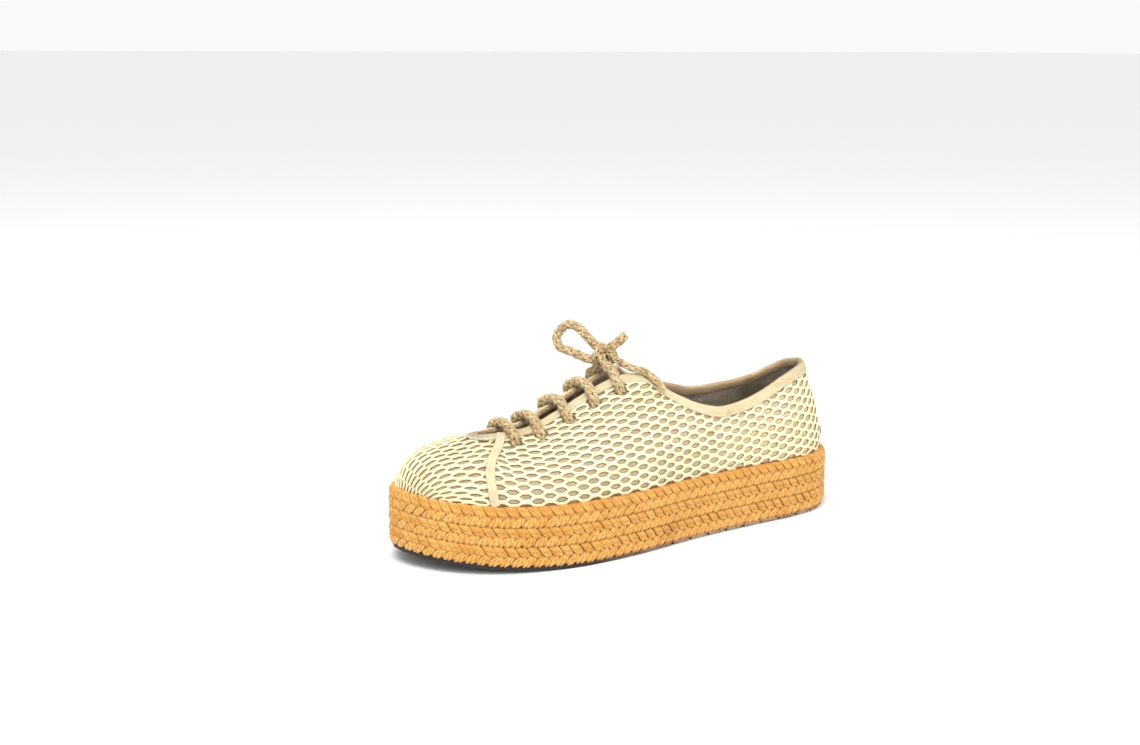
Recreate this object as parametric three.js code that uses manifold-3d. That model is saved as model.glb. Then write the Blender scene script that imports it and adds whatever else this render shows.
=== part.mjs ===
// Left espadrille on a rope platform: a rubber outsole, three wound jute layers, a hollow net
// upper with an open lace slot, an insole and one jute lace tied in a half bow.
// Millimetres, +Z up, toe towards -Y, lateral side towards +X, the floor at z = 0.
import * as THREE from "three";
import { mergeVertices } from "three/addons/utils/BufferGeometryUtils.js";
import Module from "manifold-3d";

const wasm = await Module();
wasm.setup();

// Driving dimensions.
const soleLength = 262;
const outsoleThickness = 2.4;
const layerHeight = 9.75;
const toeLayerHeight = 9.1;
const gap = 0.3;
const toeSpring = 7.6;
const springStart = 178;
const layerBulge = 1.1;
const outsoleInset = 1.0;
const lip = 3.2;
const wall = 2.0;
const insoleThickness = 3.5;
const insoleInset = 6.6;
const insoleBevel = 0.8;
const laceDiameter = 5.2;
const laceClearance = 0.45;
const knotRadius = 5.6;

// The frame's origin is at the middle of the platform, this far beside the last's centre line.
const centreLine = -2.15;

const ringCount = 84;
const ribCount = 90;
const ribSteps = 11;

// Outline of the rope platform: distance from the heel, and where its two edges lie.
const outlineSections = [
  { along: 0, medial: -3, lateral: -3 },
  { along: 3, medial: -15, lateral: 11 },
  { along: 10, medial: -24, lateral: 22 },
  { along: 22, medial: -30, lateral: 30.5 },
  { along: 40, medial: -33, lateral: 35 },
  { along: 68, medial: -33.5, lateral: 37 },
  { along: 108, medial: -34.2, lateral: 41 },
  { along: 150, medial: -41.5, lateral: 48.5 },
  { along: 188, medial: -46.3, lateral: 50.2 },
  { along: 222, medial: -41.5, lateral: 42.5 },
  { along: 244, medial: -31, lateral: 29 },
  { along: 257, medial: -17, lateral: 13 },
  { along: soleLength, medial: -3, lateral: -3 },
];

// Ribs of the upper, a row for each section from the heel round to the toe: foot is where the
// rib stands on the sole, along how far its top edge lies from the heel, lateral and medial the
// top edge's place across, height its height over the floor, and lower how much lower it lies on
// the medial side. lean is the rib's outward slope at the sole and reach how far it keeps it;
// fall is its slope at the top edge and drop how far it keeps that.
const ribSections = [
  { foot: 0, along: 13, lateral: 0, medial: 0, height: 79.6, lower: 0,
    lean: -2, reach: 16, fall: 20, drop: 16 },
  { foot: 10, along: 17, lateral: 7.5, medial: -7.5, height: 78.8, lower: 0.5,
    lean: -2, reach: 16, fall: 22, drop: 16 },
  { foot: 24, along: 25.5, lateral: 11.5, medial: -12, height: 76.8, lower: 2.5,
    lean: 0, reach: 16, fall: 26, drop: 16 },
  { foot: 38, along: 37, lateral: 15, medial: -16, height: 73.8, lower: 4.5,
    lean: 4, reach: 17, fall: 28, drop: 15 },
  { foot: 56, along: 54, lateral: 19, medial: -20.5, height: 68.4, lower: 2.5,
    lean: 5, reach: 15, fall: 27, drop: 13 },
  { foot: 72, along: 70, lateral: 22.5, medial: -23, height: 65.3, lower: 0.5,
    lean: 6, reach: 13, fall: 25, drop: 12 },
  { foot: 88, along: 84, lateral: 24.5, medial: -24.5, height: 64.4, lower: -3.5,
    lean: 7, reach: 13, fall: 26, drop: 12 },
  { foot: 100, along: 96, lateral: 24.3, medial: -24.3, height: 67, lower: -4.5,
    lean: 7, reach: 13, fall: 30, drop: 13 },
  { foot: 113, along: 109, lateral: 21.8, medial: -22, height: 72.5, lower: -3,
    lean: 7, reach: 14, fall: 38, drop: 15 },
  { foot: 124, along: 119, lateral: 17, medial: -17, height: 78.8, lower: -1,
    lean: 7.5, reach: 15, fall: 46, drop: 17 },
  { foot: 133, along: 127, lateral: 12, medial: -12, height: 84.6, lower: 0,
    lean: 8, reach: 16, fall: 53, drop: 20 },
  { foot: 143, along: 135, lateral: 8, medial: -8, height: 84, lower: 0,
    lean: 8, reach: 16, fall: 58, drop: 20 },
  { foot: 160, along: 150, lateral: 5.8, medial: -5.6, height: 79, lower: 0,
    lean: 9, reach: 15, fall: 62, drop: 20 },
  { foot: 184, along: 172, lateral: 5.3, medial: -5.2, height: 69, lower: 0,
    lean: 10, reach: 13, fall: 66, drop: 20 },
  { foot: 206, along: 192, lateral: 5.1, medial: -5, height: 61.4, lower: 0,
    lean: 11, reach: 12, fall: 66, drop: 20 },
  { foot: 225, along: 206, lateral: 4.6, medial: -4.6, height: 60.2, lower: 0,
    lean: 2, reach: 16.5, fall: 73, drop: 22 },
  { foot: 243, along: 214, lateral: 2.8, medial: -2.8, height: 59.8, lower: 0,
    lean: -11, reach: 19.5, fall: 78, drop: 25 },
  { foot: 257, along: 216, lateral: 0, medial: 0, height: 59.6, lower: 0,
    lean: -13, reach: 19, fall: 79, drop: 25 },
];

// Pairs of lace holes from the toe up: their distance from the heel and from the slot's edge.
const cornerAlong = 127;
const holeAlong = [201.5, 187, 171, 155.5, 141];
const holeFromEdge = 9.8;

// The bow over the top pair of holes: its knot, one loop over the medial side and two ends.
const knotCentre = { along: 140.5, across: -1.5, height: 93.4 };
const lateralStrandTop = { along: 142.6, across: 1.6, height: 89.4 };
const medialStrandTop = { along: 137.6, across: -2.2, height: 89.6 };
const bowLoop = [
  { along: 142, across: -5, height: 96.4 },
  { along: 144.6, across: -11, height: 101.2 },
  { along: 147.3, across: -18, height: 106.4 },
  { along: 149.9, across: -23, height: 107.4 },
  { along: 152.5, across: -27.4, height: 104 },
  { along: 154.4, across: -28.4, height: 99.6 },
  { along: 154.2, across: -25.4, height: 95.4 },
  { along: 151.2, across: -18, height: 93.6 },
  { along: 147.9, across: -11, height: 91.6 },
  { along: 144.2, across: -5.2, height: 90.4 },
];
const shortEnd = [
  { along: 138.2, across: 0.6, height: 98.2 },
  { along: 134.6, across: 2.4, height: 100.8 },
  { along: 131, across: 3.4, height: 104.4 },
];
const longEnd = [
  { along: 138.6, across: 3.4, height: 93.2 },
  { along: 135, across: 6.4, height: 90.4 },
  { along: 131.5, across: 9.9, height: 88.1 },
  { along: 127.6, across: 13.8, height: 87 },
  { along: 124, across: 17.4, height: 84.4 },
  { along: 121.2, across: 20.6, height: 80.8 },
  { along: 119.6, across: 22.6, height: 77.4 },
];

const lerp = THREE.MathUtils.lerp;
const degrees = THREE.MathUtils.degToRad;
const up = new THREE.Vector3(0, 0, 1);

function springAt(along) {
  const t = THREE.MathUtils.clamp((along - springStart) / (soleLength - springStart), 0, 1);
  return toeSpring * t * t;
}

function layerHeightAt(along) {
  return lerp(layerHeight, toeLayerHeight, THREE.MathUtils.smoothstep(along, springStart, soleLength));
}

// Underside of the jute layer with this number; number 3 gives the top of the platform plus a gap.
function layerBottom(number, along) {
  return springAt(along) + outsoleThickness + gap + number * (layerHeightAt(along) + gap);
}

function place(along, across, height) {
  return new THREE.Vector3(across + centreLine, soleLength / 2 - along, height);
}

function alongOf(point) {
  return soleLength / 2 - point.y;
}

// Evenly spaced points round a closed line.
function resample(points, count) {
  const lengths = [0];
  points.forEach((p, i) => lengths.push(lengths[i] + p.distanceTo(points[(i + 1) % points.length])));
  const total = lengths.at(-1);
  const result = [];
  let span = 0;
  for (let i = 0; i < count; i++) {
    const goal = (total * i) / count;
    while (lengths[span + 1] < goal) span++;
    const t = (goal - lengths[span]) / (lengths[span + 1] - lengths[span]);
    result.push(points[span].clone().lerp(points[(span + 1) % points.length], t));
  }
  return result;
}

const lateralEdge = outlineSections.map((row) => place(row.along, row.lateral, 0));
const medialEdge = outlineSections.slice(1, -1).map((row) => place(row.along, row.medial, 0));
const outline = new THREE.CatmullRomCurve3([...lateralEdge, ...medialEdge.reverse()], true, "centripetal");
const fineOutline = outline.getPoints(720).slice(0, -1);

// The platform's outline moved inwards, from the heel over the lateral side to the toe and back.
function insetRing(inset, count) {
  const moved = fineOutline.map((p, i) => {
    const before = fineOutline.at(i - 1);
    const after = fineOutline[(i + 1) % fineOutline.length];
    const inward = after.clone().sub(before).cross(up).normalize();
    return p.clone().addScaledVector(inward, inset);
  });
  return resample(moved, count);
}

// A closed body from stacked rings of one count: sides between them, strips across the ends.
function stackRings(rings) {
  const count = rings[0].length;
  const index = [];
  const quad = (a, b, c, d) => {
    if (a !== b && b !== c && c !== a) index.push(a, b, c);
    if (a !== c && c !== d && d !== a) index.push(a, c, d);
  };
  for (let r = 0; r + 1 < rings.length; r++) {
    for (let i = 0; i < count; i++) {
      const next = (i + 1) % count;
      quad(r * count + next, r * count + i, (r + 1) * count + i, (r + 1) * count + next);
    }
  }
  const top = (rings.length - 1) * count;
  for (let i = 0; i < count / 2; i++) {
    const far = (count - i) % count;
    quad(i, i + 1, far - 1 < 0 ? count - 1 : far - 1, far);
    quad(top + i, top + far, top + (far - 1 < 0 ? count - 1 : far - 1), top + i + 1);
  }
  return meshFrom(rings.flat(), index);
}

function meshFrom(points, index) {
  const geometry = new THREE.BufferGeometry();
  const numbers = points.flatMap((p) => [p.x, p.y, p.z]);
  geometry.setAttribute("position", new THREE.Float32BufferAttribute(numbers, 3));
  geometry.setIndex(index);
  return geometry;
}

function layerRing(inset, heightAt) {
  return insetRing(inset, ringCount).map((p) => p.setZ(heightAt(alongOf(p))));
}

function solidOf(geometry) {
  const bare = geometry.clone();
  bare.deleteAttribute("normal");
  bare.deleteAttribute("uv");
  const merged = mergeVertices(bare, 1e-4);
  const vertProperties = new Float32Array(merged.attributes.position.array);
  const triVerts = new Uint32Array(merged.index.array);
  return new wasm.Manifold(new wasm.Mesh({ numProp: 3, vertProperties, triVerts }));
}

function geometryOf(solid) {
  const mesh = solid.getMesh();
  const geometry = new THREE.BufferGeometry();
  geometry.setAttribute("position", new THREE.BufferAttribute(mesh.vertProperties, 3));
  geometry.setIndex(new THREE.BufferAttribute(mesh.triVerts, 1));
  return geometry;
}

const shoe = new THREE.Group();

function addPart(name, geometry, color, roughness) {
  const mesh = new THREE.Mesh(geometry, new THREE.MeshStandardMaterial({ color, roughness, metalness: 0 }));
  mesh.name = name;
  shoe.add(mesh);
}

// Thin rubber outsole. Grooves run right across under the heel and waist, and stop short of the
// edge under the forefoot.
const outsoleBevel = 0.4;
const rightAcross = 140;
const heelGrooves = { first: 14, last: 126, pitch: 12.4, width: 2.2, depth: 1.6 };
const frontGrooves = { first: 150, last: 236, pitch: 8.6, width: 2.4, depth: 1.2, margin: 9 };

function outsole() {
  const bottom = layerRing(outsoleInset + outsoleBevel, springAt);
  const top = layerRing(outsoleInset, (along) => springAt(along) + outsoleThickness);
  let body = solidOf(stackRings([bottom, top]));
  const groove = (along, across, span, width, depth) => {
    const box = new THREE.BoxGeometry(span, width, depth * 2).translate(across, soleLength / 2 - along, 0);
    return box.translate(0, 0, springAt(along));
  };
  const { first, last, pitch, width, depth } = heelGrooves;
  for (let along = first; along <= last; along += pitch) {
    body = body.subtract(solidOf(groove(along, 0, rightAcross, width, depth)));
  }
  for (let along = frontGrooves.first; along <= frontGrooves.last; along += frontGrooves.pitch) {
    const near = fineOutline.filter((p) => Math.abs(alongOf(p) - along) < 4).map((p) => p.x);
    const low = Math.min(...near) + frontGrooves.margin;
    const high = Math.max(...near) - frontGrooves.margin;
    const cut = groove(along, (low + high) / 2, high - low, frontGrooves.width, frontGrooves.depth);
    body = body.subtract(solidOf(cut));
  }
  return geometryOf(body);
}
addPart("outsole", outsole(), 0xc9a684, 0.75);

// Three wound jute layers, each with a rounded rope edge.
function juteLayer(number) {
  const level = (share) => (along) => layerBottom(number, along) + share * layerHeightAt(along);
  return stackRings([
    layerRing(layerBulge, level(0)),
    layerRing(0, level(0.28)),
    layerRing(0, level(0.72)),
    layerRing(layerBulge, level(1)),
  ]);
}
["bottom", "middle", "top"].forEach((name, number) => {
  addPart("jute_layer_" + name, juteLayer(number), 0xc98f3f, 0.9);
});

// Values of one column between the rows of a closed table, without overshoot.
function between(rows, column, s) {
  const count = rows.length;
  const at = (i) => rows[((i % count) + count) % count];
  const position = (i) => at(i).s + Math.floor(i / count);
  let i = 0;
  while (i + 1 < count && rows[i + 1].s <= s) i++;
  const slope = (k) => (at(k + 1)[column] - at(k)[column]) / (position(k + 1) - position(k));
  const tangent = (k) => {
    const a = slope(k - 1);
    const b = slope(k);
    return a * b <= 0 ? 0 : (2 * a * b) / (a + b);
  };
  const width = position(i + 1) - position(i);
  const t = (s - position(i)) / width;
  const rise = t * t * (3 - 2 * t);
  return (
    lerp(at(i)[column], at(i + 1)[column], rise) +
    width * (t * (1 - t) ** 2 * tangent(i) - t * t * (1 - t) * tangent(i + 1))
  );
}

const feather = insetRing(lip, 960);

// Share of the way round the feather line at which a rib stands.
function shareAt(foot, lateral) {
  const half = feather.length / 2;
  const from = lateral ? 0 : half;
  let best = from;
  for (let i = from; i < from + half; i++) {
    if (Math.abs(alongOf(feather[i]) - foot) < Math.abs(alongOf(feather[best]) - foot)) best = i;
  }
  return best / feather.length;
}

function medialRib(row) {
  return { ...row, s: shareAt(row.foot, false), across: row.medial, height: row.height - row.lower };
}

const inner = ribSections.slice(1, -1);
const ribs = [
  { ...ribSections[0], s: 0, across: 0 },
  ...inner.map((row) => ({ ...row, s: shareAt(row.foot, true), across: row.lateral })),
  { ...ribSections.at(-1), s: 0.5, across: 0 },
  ...inner.map((row) => medialRib(row)).reverse(),
];

function ribAt(s) {
  const share = s - Math.floor(s);
  const spot = share * feather.length;
  const first = Math.floor(spot) % feather.length;
  const second = (first + 1) % feather.length;
  const foot = feather[first].clone().lerp(feather[second], spot - Math.floor(spot));
  foot.z = layerBottom(3, alongOf(foot));
  const outward = feather[first].clone().sub(feather[second]).cross(up).normalize();
  const value = (column) => between(ribs, column, share);
  const edge = place(value("along"), value("across"), value("height"));
  const away = foot.clone().sub(edge).setZ(0).normalize();
  const lean = degrees(value("lean"));
  const fall = degrees(value("fall"));
  const low = foot.clone().addScaledVector(up, value("reach") * Math.cos(lean));
  low.addScaledVector(outward, value("reach") * Math.sin(lean));
  const high = edge.clone().addScaledVector(up, -value("drop") * Math.cos(fall));
  high.addScaledVector(away, value("drop") * Math.sin(fall));
  return new THREE.CubicBezierCurve3(foot, low, high, edge);
}

function skinPoint(s, t) {
  return ribAt(s).getPoint(t);
}

function skinNormal(s, t) {
  const round = skinPoint(s + 0.002, t).sub(skinPoint(s - 0.002, t));
  const rising = skinPoint(s, Math.min(t + 0.02, 1)).sub(skinPoint(s, Math.max(t - 0.02, 0)));
  return rising.cross(round).normalize();
}

// Hollow upper: an outer skin of ribs round the foot, and the same skin one wall further in.
function upperShell() {
  const outer = [];
  const innerSkin = [];
  for (let j = 0; j <= ribSteps; j++) {
    for (let i = 0; i < ribCount; i++) {
      const point = skinPoint(i / ribCount, j / ribSteps);
      const normal = skinNormal(i / ribCount, j / ribSteps);
      if (j === 0) normal.setZ(0).normalize();
      outer.push(point);
      innerSkin.push(point.clone().addScaledVector(normal, -wall));
    }
  }
  const base = outer.length;
  const index = [];
  const quad = (a, b, c, d) => index.push(a, c, b, a, d, c);
  for (let j = 0; j < ribSteps; j++) {
    for (let i = 0; i < ribCount; i++) {
      const next = (i + 1) % ribCount;
      const a = j * ribCount + i;
      const b = j * ribCount + next;
      const c = (j + 1) * ribCount + next;
      const d = (j + 1) * ribCount + i;
      quad(a, b, c, d);
      quad(base + b, base + a, base + d, base + c);
    }
  }
  const top = ribSteps * ribCount;
  for (let i = 0; i < ribCount; i++) {
    const next = (i + 1) % ribCount;
    quad(next, i, base + i, base + next);
    quad(top + i, top + next, base + top + next, base + top + i);
  }
  return meshFrom([...outer, ...innerSkin], index);
}

// A round cord through a list of points.
function cord(points, diameter, steps, sides = 8) {
  const corners = [];
  for (let i = 0; i < sides; i++) {
    const turn = (2 * Math.PI * i) / sides;
    corners.push(new THREE.Vector2(Math.cos(turn), Math.sin(turn)).multiplyScalar(diameter / 2));
  }
  const extrudePath = new THREE.CatmullRomCurve3(points, false, "centripetal");
  return new THREE.ExtrudeGeometry(new THREE.Shape(corners), { steps, extrudePath, bevelEnabled: false });
}

// The spot on the upper's skin on one side, this far from the heel and from its top edge.
function spotOn(lateral, along, fromEdge) {
  const top = ribs.find((row) => row.along === cornerAlong && row.across > 0 === lateral).s;
  let low = lateral ? top : 0.5;
  let high = lateral ? 0.5 : top;
  const spot = (s) => {
    const rib = ribAt(s);
    const t = rib.getUtoTmapping(0, rib.getLength() - fromEdge);
    return { s, t, point: rib.getPoint(t) };
  };
  for (let step = 0; step < 30; step++) {
    const middle = (low + high) / 2;
    if (alongOf(spot(middle).point) < along === lateral) low = middle;
    else high = middle;
  }
  const found = spot((low + high) / 2);
  return { ...found, normal: skinNormal(found.s, found.t) };
}

const laceRadius = laceDiameter / 2;
const runDepth = wall + laceRadius + 1;
const overEdge = laceRadius + 1.1;

function offSkin(spot, distance) {
  return spot.point.clone().addScaledVector(spot.normal, distance);
}

// Points that carry the lace through one hole, from under the upper to the slot's edge.
function throughHole(number, lateral) {
  const along = holeAlong[number - 1];
  return [
    offSkin(spotOn(lateral, along, holeFromEdge + 1.8), -runDepth),
    offSkin(spotOn(lateral, along, holeFromEdge), -wall / 2),
    offSkin(spotOn(lateral, along, holeFromEdge - 2.4), laceRadius + 0.4),
    spotOn(lateral, along, 0).point.addScaledVector(up, overEdge),
  ];
}

// One bar over the slot, from the lateral hole of a pair to its medial one.
function bar(number) {
  const lateral = throughHole(number, true);
  const medial = throughHole(number, false);
  const middle = lateral.at(-1).clone().lerp(medial.at(-1), 0.5).addScaledVector(up, 0.7);
  return [...lateral, middle, ...medial.reverse()];
}

// A hidden run under one side of the upper, at this distance from the slot's edge.
function run(lateral, along, fromEdge) {
  return offSkin(spotOn(lateral, along, fromEdge), -runDepth);
}

function placed(rows) {
  return rows.map((row) => place(row.along, row.across, row.height));
}

const innerLane = 4;
const outerLane = 18;
const [firstHole, secondHole, thirdHole, fourthHole, fifthHole] = holeAlong;
const [knot] = placed([knotCentre]);
const crossUnder = placed([{ along: 148, across: 1, height: 72 }]);

// The laced length: straight bars over the slot, each end skipping a hole on its way up.
const lacePath = [
  ...placed([lateralStrandTop]),
  ...throughHole(5, true).reverse(),
  run(true, (fourthHole + fifthHole) / 2, outerLane),
  run(true, (thirdHole + fourthHole) / 2, outerLane),
  ...bar(3),
  run(false, (secondHole + thirdHole) / 2, innerLane),
  run(false, (firstHole + secondHole) / 2, innerLane),
  ...bar(1).reverse(),
  ...bar(2),
  run(false, (secondHole + thirdHole) / 2, outerLane),
  run(false, (thirdHole + fourthHole) / 2, outerLane),
  ...bar(4).reverse(),
  ...crossUnder,
  ...throughHole(5, false),
  ...placed([medialStrandTop]),
];

const laceSteps = 110;
const laceRoom = solidOf(cord(lacePath, laceDiameter + 2 * laceClearance, laceSteps));
addPart("upper", geometryOf(solidOf(upperShell()).subtract(laceRoom)), 0xe2d6b8, 0.95);
addPart("lace", cord(lacePath, laceDiameter, laceSteps), 0xc3a573, 0.95);

// The knot is a ball that each strand meets with a small gap.
const bow = [
  { name: "bow_loop", points: placed(bowLoop), steps: 22 },
  { name: "bow_short_end", points: placed(shortEnd), steps: 5 },
  { name: "bow_long_end", points: placed(longEnd), steps: 9 },
];
let knotSolid = solidOf(new THREE.SphereGeometry(knotRadius, 14, 10).translate(knot.x, knot.y, knot.z));
knotSolid = knotSolid.subtract(solidOf(cord(lacePath, laceDiameter + 2 * gap, laceSteps)));
for (const { name, points, steps } of bow) {
  knotSolid = knotSolid.subtract(solidOf(cord(points, laceDiameter + 2 * gap, steps)));
  addPart(name, cord(points, laceDiameter, steps), 0xc3a573, 0.95);
}
addPart("bow_knot", geometryOf(knotSolid), 0xc3a573, 0.95);

// A flat insole on the top layer, its upper edge bevelled.
function insole() {
  const level = (rise) => (along) => layerBottom(3, along) + rise;
  return stackRings([
    layerRing(insoleInset, level(0)),
    layerRing(insoleInset, level(insoleThickness - insoleBevel)),
    layerRing(insoleInset + insoleBevel, level(insoleThickness)),
  ]);
}
addPart("insole", insole(), 0xb8ab90, 0.95);

export default shoe;
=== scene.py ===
# Left espadrille on a braided jute platform: net upper over canvas, open lace slot, one jute lace
# tied in a half bow. Metres, +Z up, toe towards -Y, lateral side towards +X, the floor at z = 0.
from math import cos, pi, radians, sin

import bpy
import numpy as np
from mathutils import Matrix, Vector


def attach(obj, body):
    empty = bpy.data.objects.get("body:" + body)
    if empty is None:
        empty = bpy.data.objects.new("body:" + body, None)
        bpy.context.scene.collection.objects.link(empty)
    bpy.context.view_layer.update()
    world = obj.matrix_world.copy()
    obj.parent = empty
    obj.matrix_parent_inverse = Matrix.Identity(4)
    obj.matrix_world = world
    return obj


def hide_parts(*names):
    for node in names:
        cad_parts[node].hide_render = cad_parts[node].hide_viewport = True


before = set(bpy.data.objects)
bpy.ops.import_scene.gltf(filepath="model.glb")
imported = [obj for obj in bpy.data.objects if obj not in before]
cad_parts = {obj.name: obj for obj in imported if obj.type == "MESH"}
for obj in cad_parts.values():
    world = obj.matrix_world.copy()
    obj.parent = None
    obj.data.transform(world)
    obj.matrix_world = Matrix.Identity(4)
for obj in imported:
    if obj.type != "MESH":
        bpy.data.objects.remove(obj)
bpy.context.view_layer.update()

# Camera. It stands at the lateral front quarter, a little over the shoe, and looks past it so
# that the shoe lies low and right of the middle of the view.
camera_azimuth = radians(60.0637)
camera_elevation = radians(11.9977)
camera_roll = radians(0.2187)
camera_spot = (0.67023, -0.41861, 0.25173)
back = Vector((sin(camera_azimuth) * cos(camera_elevation),
               -cos(camera_azimuth) * cos(camera_elevation),
               sin(camera_elevation)))
level_right = Vector((cos(camera_azimuth), sin(camera_azimuth), 0.0))
level_up = back.cross(level_right)
camera_right = level_right * cos(camera_roll) + level_up * sin(camera_roll)
camera_up = level_up * cos(camera_roll) - level_right * sin(camera_roll)
camera_data = bpy.data.cameras.new("camera")
camera_data.lens = 48.52
camera_data.sensor_width = 36.0
camera_data.clip_start = 0.01
camera = bpy.data.objects.new("camera", camera_data)
camera.matrix_world = Matrix.Translation(camera_spot) @ Matrix(
    (camera_right, camera_up, back)).transposed().to_4x4()
bpy.context.scene.collection.objects.link(camera)
bpy.context.scene.camera = camera

# Bow. The lace's two ends meet in a small knot over the slot: one stiff loop stands up on the
# medial side, a short end stands up behind it and a longer end hangs back on the lateral side.
# The lace is a soft cord braided from eight jute yarns, tied by hand.
sole_length = 0.262
centre_line = -0.00215
UP = np.array([0.0, 0.0, 1.0])


def place(along, across, height):
    """Points at these distances from the heel, from the last's centre line and over the floor."""
    spots = np.broadcast_arrays(np.asarray(across, float) + centre_line,
                                sole_length / 2 - np.asarray(along, float),
                                np.asarray(height, float))
    return np.stack(spots, -1)


def from_rows(rows):
    """Points from rows of millimetres along, across and up."""
    along, across, height = np.array(rows).T / 1000
    return place(along, across, height)


def smooth(points, count, closed=False):
    """A smooth curve through all the points, with no loops at close ones."""
    points = np.asarray(points, float)
    last = len(points) if closed else len(points) - 1
    curve = []
    for place_on in np.arange(count) / (count if closed else count - 1) * last:
        k = min(int(place_on), last - 1)
        w = place_on - k
        if closed:
            p0, p1, p2, p3 = (points[(k + j) % len(points)] for j in (-1, 0, 1, 2))
        else:
            p1, p2 = points[k], points[k + 1]
            p0 = points[k - 1] if k > 0 else 2 * p1 - p2
            p3 = points[k + 2] if k + 2 <= last else 2 * p2 - p1
        d0, d1, d2 = (max(np.linalg.norm(b - a), 1e-7) ** 0.5
                      for a, b in ((p0, p1), (p1, p2), (p2, p3)))
        m1 = ((p1 - p0) / d0 - (p2 - p0) / (d0 + d1) + (p2 - p1) / d1) * d1
        m2 = ((p2 - p1) / d1 - (p3 - p1) / (d1 + d2) + (p3 - p2) / d2) * d1
        curve.append(p1 + m1 * w + (3 * (p2 - p1) - 2 * m1 - m2) * w ** 2
                     + (2 * (p1 - p2) + m1 + m2) * w ** 3)
    return np.array(curve)


def run_along(line):
    """How far along a line each of its points lies."""
    return np.r_[0, np.cumsum(np.linalg.norm(np.diff(line, axis=0), axis=1))]


def at_runs(goal, run, values):
    """What the points' values are at these distances along their line."""
    return np.stack([np.interp(goal, run, values[:, k]) for k in range(3)], 1)


def even(points, step=None, count=None, closed=False):
    """The same line with its points evenly spaced."""
    line = np.vstack([points, points[:1]]) if closed else np.asarray(points)
    run = run_along(line)
    count = count or max(3, int(round(run[-1] / step)) + 1)
    return at_runs(run[-1] * np.arange(count) / (count if closed else count - 1), run, line)


def unit(vectors):
    return vectors / np.maximum(np.linalg.norm(vectors, axis=-1, keepdims=True), 1e-12)


def directions(path):
    return unit(np.gradient(path, axis=0))


def square_to(ahead, lean):
    """The directions nearest to lean that are square to the way ahead."""
    return unit(lean - ahead * (lean * ahead).sum(1)[:, None])


def carried_frames(path):
    """Two crosswise directions at each point of a path, turned as little as possible."""
    ahead = directions(path)
    side = [unit(np.cross(ahead[0], UP if abs(ahead[0][2]) < 0.9 else [1.0, 0, 0]))]
    for direction in ahead[1:]:
        side.append(unit(side[-1] - direction * np.dot(side[-1], direction)))
    side = np.array(side)
    return side, np.cross(ahead, side)


def ring_faces(rows, columns, flip=False):
    """Faces between rows of points, each row going round."""
    row, col = np.meshgrid(np.arange(rows - 1) * columns, np.arange(columns), indexing="ij")
    after = (col + 1) % columns
    faces = np.stack([row + col, row + after, row + columns + after, row + columns + col], -1)
    faces = faces.reshape(-1, 4)
    return faces[:, ::-1] if flip else faces


def end_faces(rows, columns):
    """One face over the first row of points and one over the last."""
    return [np.arange(columns)[None, ::-1], np.arange((rows - 1) * columns, rows * columns)[None]]


def yarn(path, width, thick, side=None, over=None, sides=6, tone=0.5, twist=0.0):
    """A yarn along a path, closed at both ends. A point's grain is where it lies along and across
    the yarn, turned by its twist in radians a metre, and its tone is how pale the yarn is."""
    count = len(path)
    if side is None:
        side, over = carried_frames(path)
    width, thick, tone = (np.broadcast_to(value, count) for value in (width, thick, tone))
    turn = 2 * pi * np.arange(sides) / sides
    out = np.cos(turn) * width[:, None] / 2
    up = np.sin(turn) * thick[:, None] / 2
    rings = path[:, None] + side[:, None] * out[..., None] + over[:, None] * up[..., None]
    run = run_along(path)[:, None]
    c, s = np.cos(twist * run), np.sin(twist * run)
    grain = np.stack(np.broadcast_arrays(run, out * c - up * s, out * s + up * c), -1)
    ring = np.arange(sides)
    ahead = (ring + 1) % sides
    tail = (count - 1) * sides
    first = np.stack([ahead, ring, np.full(sides, count * sides)], -1)
    final = np.stack([tail + ring, tail + ahead, np.full(sides, count * sides + 1)], -1)
    return {"points": np.vstack([rings.reshape(-1, 3), path[:1], path[-1:]]),
            "faces": [ring_faces(count, sides), first, final],
            "grain": np.vstack([grain.reshape(-1, 3), [[0, 0, 0], [run[-1, 0], 0, 0]]]),
            "tone": np.r_[np.repeat(tone, sides), tone[0], tone[-1]]}


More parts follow.
